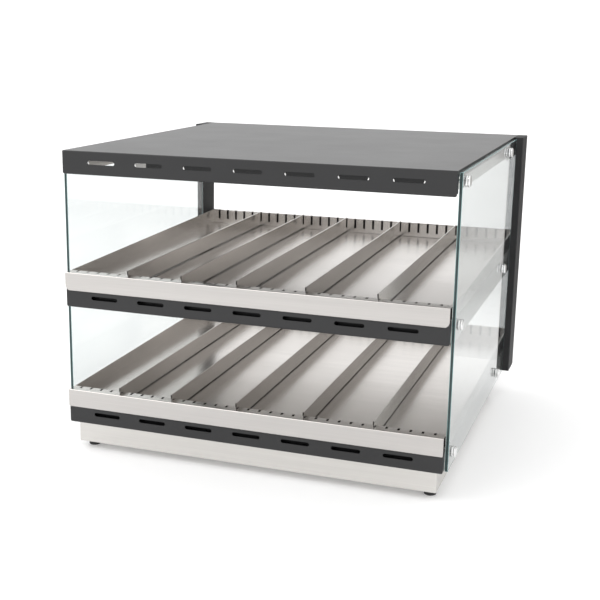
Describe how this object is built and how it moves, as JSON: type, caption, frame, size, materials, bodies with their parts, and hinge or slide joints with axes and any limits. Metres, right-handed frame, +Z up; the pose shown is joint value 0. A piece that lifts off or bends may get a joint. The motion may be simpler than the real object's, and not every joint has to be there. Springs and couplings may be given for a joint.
{
  "type": "heated food display cabinet",
  "caption": "Open-front two-level heated food display cabinet: a black canopy over stainless shelves with lift-out lane dividers, between side glasses on a low base.",
  "frame": {"origin": "centre of the bounding box's bottom face, on the table under the feet", "axes": "+X to the right as a customer facing it sees it, -Y out of the front towards the customer, +Z up"},
  "size_m": [0.838, 0.7899, 0.634],
  "materials": {
    "black_powder_coat": "satin black powder coat",
    "stainless_sheet": "fine-brushed stainless sheet",
    "polished_standoff": "polished stainless",
    "side_glass": "clear tempered glass with ground edges",
    "rubber_foot": "matt rubber",
    "black_plastic": "moulded, lightly textured",
    "lamp_lens": "translucent red",
    "heater_element": "heat-darkened tubular sheath",
    "heater_plate": "plain sheet",
    "insulation_wool": "mineral wool mat",
    "ceramic_body": "cream moulded body"
  },
  "bodies": {
    "cabinet": {"canopy_cover": "black_powder_coat", "canopy_heater_housing": "stainless_sheet", "heater_element_front": "heater_element", "heater_element_rear": "heater_element", "element_bracket_left": "stainless_sheet", "element_bracket_right": "stainless_sheet", "upper_fascia": "black_powder_coat", "upper_housing": "stainless_sheet", "upper_tray": "stainless_sheet", "upper_heater_plate": "heater_plate", "upper_insulation": "insulation_wool", "lower_fascia": "black_powder_coat", "lower_housing": "stainless_sheet", "lower_tray": "stainless_sheet", "lower_heater_plate": "heater_plate", "lower_insulation": "insulation_wool", "glass_left": "side_glass", "glass_right": "side_glass", "standoff_lower_front_left": "polished_standoff", "standoff_lower_rear_left": "polished_standoff", "standoff_upper_front_left": "polished_standoff", "standoff_upper_rear_left": "polished_standoff", "standoff_canopy_front_left": "polished_standoff", "standoff_canopy_rear_left": "polished_standoff", "standoff_lower_front_right": "polished_standoff", "standoff_lower_rear_right": "polished_standoff", "standoff_upper_front_right": "polished_standoff", "standoff_upper_rear_right": "polished_standoff", "standoff_canopy_front_right": "polished_standoff", "standoff_canopy_rear_right": "polished_standoff", "rear_post_left": "black_powder_coat", "rear_post_right": "black_powder_coat", "base_plinth": "stainless_sheet", "base_bottom_plate": "stainless_sheet", "foot_front_left": "rubber_foot", "foot_rear_left": "rubber_foot", "foot_front_right": "rubber_foot", "foot_rear_right": "rubber_foot", "control_panel": "black_powder_coat", "thermostat_upper": "ceramic_body", "thermostat_lower": "ceramic_body", "switch_body": "black_plastic", "indicator_lamp": "lamp_lens", "cable_gland": "black_plastic", "terminal_block": "ceramic_body"},
    "upper_lane_divider_1": {"upper_divider_1": "stainless_sheet"},
    "upper_lane_divider_2": {"upper_divider_2": "stainless_sheet"},
    "upper_lane_divider_3": {"upper_divider_3": "stainless_sheet"},
    "upper_lane_divider_4": {"upper_divider_4": "stainless_sheet"},
    "upper_lane_divider_5": {"upper_divider_5": "stainless_sheet"},
    "lower_lane_divider_1": {"lower_divider_1": "stainless_sheet"},
    "lower_lane_divider_2": {"lower_divider_2": "stainless_sheet"},
    "lower_lane_divider_3": {"lower_divider_3": "stainless_sheet"},
    "lower_lane_divider_4": {"lower_divider_4": "stainless_sheet"},
    "lower_lane_divider_5": {"lower_divider_5": "stainless_sheet"},
    "upper_thermostat_knob": {"thermostat_knob_upper": "black_plastic"},
    "lower_thermostat_knob": {"thermostat_knob_lower": "black_plastic"},
    "power_rocker": {"switch_rocker": "black_plastic"}
  },
  "joints": [
    {"name": "upper_divider_1_lift", "type": "slide", "parent": "cabinet", "child": "upper_lane_divider_1", "axis": [0, -0.0105, 0.9999], "range_m": [0, 0.06]},
    {"name": "upper_divider_2_lift", "type": "slide", "parent": "cabinet", "child": "upper_lane_divider_2", "axis": [0, -0.0105, 0.9999], "range_m": [0, 0.06]},
    {"name": "upper_divider_3_lift", "type": "slide", "parent": "cabinet", "child": "upper_lane_divider_3", "axis": [0, -0.0105, 0.9999], "range_m": [0, 0.06]},
    {"name": "upper_divider_4_lift", "type": "slide", "parent": "cabinet", "child": "upper_lane_divider_4", "axis": [0, -0.0105, 0.9999], "range_m": [0, 0.06]},
    {"name": "upper_divider_5_lift", "type": "slide", "parent": "cabinet", "child": "upper_lane_divider_5", "axis": [0, -0.0105, 0.9999], "range_m": [0, 0.06]},
    {"name": "lower_divider_1_lift", "type": "slide", "parent": "cabinet", "child": "lower_lane_divider_1", "axis": [0, -0.0105, 0.9999], "range_m": [0, 0.06]},
    {"name": "lower_divider_2_lift", "type": "slide", "parent": "cabinet", "child": "lower_lane_divider_2", "axis": [0, -0.0105, 0.9999], "range_m": [0, 0.06]},
    {"name": "lower_divider_3_lift", "type": "slide", "parent": "cabinet", "child": "lower_lane_divider_3", "axis": [0, -0.0105, 0.9999], "range_m": [0, 0.06]},
    {"name": "lower_divider_4_lift", "type": "slide", "parent": "cabinet", "child": "lower_lane_divider_4", "axis": [0, -0.0105, 0.9999], "range_m": [0, 0.06]},
    {"name": "lower_divider_5_lift", "type": "slide", "parent": "cabinet", "child": "lower_lane_divider_5", "axis": [0, -0.0105, 0.9999], "range_m": [0, 0.06]},
    {"name": "upper_thermostat_turn", "type": "hinge", "parent": "cabinet", "child": "upper_thermostat_knob", "pos_m": [0.14, 0.308, 0.03875], "axis": [0, -1, 0], "range_deg": [0, 270]},
    {"name": "lower_thermostat_turn", "type": "hinge", "parent": "cabinet", "child": "lower_thermostat_knob", "pos_m": [0.21, 0.308, 0.03875], "axis": [0, -1, 0], "range_deg": [0, 270]},
    {"name": "power_rocker_tilt", "type": "hinge", "parent": "cabinet", "child": "power_rocker", "pos_m": [0.28, 0.30605, 0.03875], "axis": [1, 0, 0], "range_deg": [-20, 0]}
  ]
}
